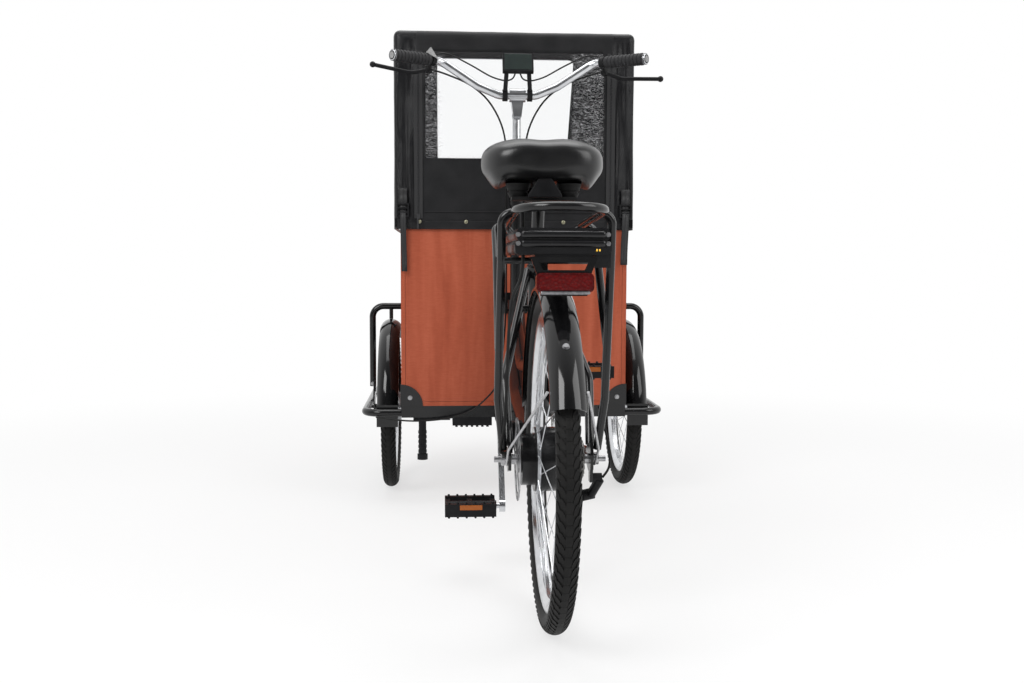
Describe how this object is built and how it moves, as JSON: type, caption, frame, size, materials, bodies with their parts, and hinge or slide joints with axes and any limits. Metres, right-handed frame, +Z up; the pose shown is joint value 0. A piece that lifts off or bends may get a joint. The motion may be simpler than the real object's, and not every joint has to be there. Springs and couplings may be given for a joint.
{
  "type": "electric cargo tricycle",
  "caption": "Electric cargo trike with a wooden front box under a rain tent, wheels in tube cradles, a rear frame pivoting on an upright column, hub motor, rack battery and saddle.",
  "frame": {"origin": "on the ground at the centre of the overall box, midway between the rear tyre and the tent's nose", "axes": "+Y forward to the box, +X to the rider's right, +Z up"},
  "size_m": [0.884, 2.168, 1.405],
  "materials": {
    "frame_black": "satin black paint",
    "gloss_black": "glossy black moulding",
    "wood": "reddish-brown varnished plywood",
    "tent_cloth": "black coated polyester",
    "clear_film": "clear soft vinyl",
    "bare_aluminium": "bright drawn aluminium",
    "black_rubber": "black rubber",
    "black_plastic": "matte black moulding",
    "lamp_lens": "clear lamp lens in a bright reflector",
    "tail_lens": "red lamp lens",
    "tyre_black": "black rubber",
    "bright_wheel": "polished aluminium rim and steel spokes",
    "bare_steel": "bright steel",
    "crank_alloy": "satin alloy",
    "motor_black": "black anodised shell",
    "saddle_cover": "black synthetic cover"
  },
  "bodies": {
    "front_frame": {"chassis": "frame_black", "steering_column": "frame_black", "floor_panel": "wood", "side_panel_left": "wood", "side_panel_right": "wood", "rear_panel": "wood", "front_panel": "wood", "top_rail": "frame_black", "corner_plates": "frame_black", "bench": "wood", "wheel_guard_left": "frame_black", "wheel_guard_right": "frame_black", "front_mudguard_left": "gloss_black", "front_mudguard_right": "gloss_black", "tent_poles": "bare_aluminium", "tent_roof": "tent_cloth", "tent_side_left": "tent_cloth", "tent_side_right": "tent_cloth", "tent_front": "tent_cloth", "tent_rear": "tent_cloth", "tent_windows": "clear_film", "stem": "bare_aluminium", "handlebar": "bare_aluminium", "grips": "black_rubber", "hand_controls": "black_plastic", "brake_cables": "black_rubber", "display": "black_plastic", "controller_box": "black_plastic", "parking_lever": "black_plastic", "headlamp": "lamp_lens"},
    "front_wheel_left": {"front_tyre_left": "tyre_black", "front_wheel_left": "bright_wheel"},
    "front_wheel_right": {"front_tyre_right": "tyre_black", "front_wheel_right": "bright_wheel"},
    "rear_frame": {"main_frame": "frame_black", "rear_triangle": "frame_black", "rear_axle": "bare_steel", "seat_post": "motor_black", "saddle": "saddle_cover", "saddle_springs": "black_rubber", "rack": "frame_black", "battery": "black_plastic", "tail_light": "tail_lens", "motor_cable": "black_rubber", "rear_mudguard": "gloss_black", "mudguard_stays": "bare_steel", "derailleur": "black_plastic", "chain": "bare_steel", "brake_caliper": "black_plastic"},
    "rear_wheel": {"rear_tyre": "tyre_black", "rear_wheel": "bright_wheel", "hub_motor": "motor_black", "brake_disc": "bare_steel", "cassette": "bare_steel"},
    "crank": {"crankset": "crank_alloy"},
    "pedal_left": {"pedal_left": "black_plastic"},
    "pedal_right": {"pedal_right": "black_plastic"}
  },
  "joints": [
    {"name": "steering", "type": "hinge", "parent": "front_frame", "child": "rear_frame", "pos_m": [0, 0.20003, 0.43], "axis": [0, 0, 1], "range_deg": [-35, 35]},
    {"name": "front_wheel_left_spin", "type": "hinge", "parent": "front_frame", "child": "front_wheel_left", "pos_m": [-0.367, 0.57503, 0.25], "axis": [-1, 0, 0], "continuous": true},
    {"name": "front_wheel_right_spin", "type": "hinge", "parent": "front_frame", "child": "front_wheel_right", "pos_m": [0.367, 0.57503, 0.25], "axis": [-1, 0, 0], "continuous": true},
    {"name": "rear_wheel_spin", "type": "hinge", "parent": "rear_frame", "child": "rear_wheel", "pos_m": [0, -0.75497, 0.329], "axis": [-1, 0, 0], "continuous": true},
    {"name": "crank_spin", "type": "hinge", "parent": "rear_frame", "child": "crank", "pos_m": [0, -0.31997, 0.302], "axis": [-1, 0, 0], "continuous": true},
    {"name": "pedal_left_spin", "type": "hinge", "parent": "crank", "child": "pedal_left", "pos_m": [-0.145, -0.41006, 0.15783], "axis": [-1, 0, 0], "continuous": true},
    {"name": "pedal_right_spin", "type": "hinge", "parent": "crank", "child": "pedal_right", "pos_m": [0.145, -0.22988, 0.44617], "axis": [-1, 0, 0], "continuous": true}
  ]
}
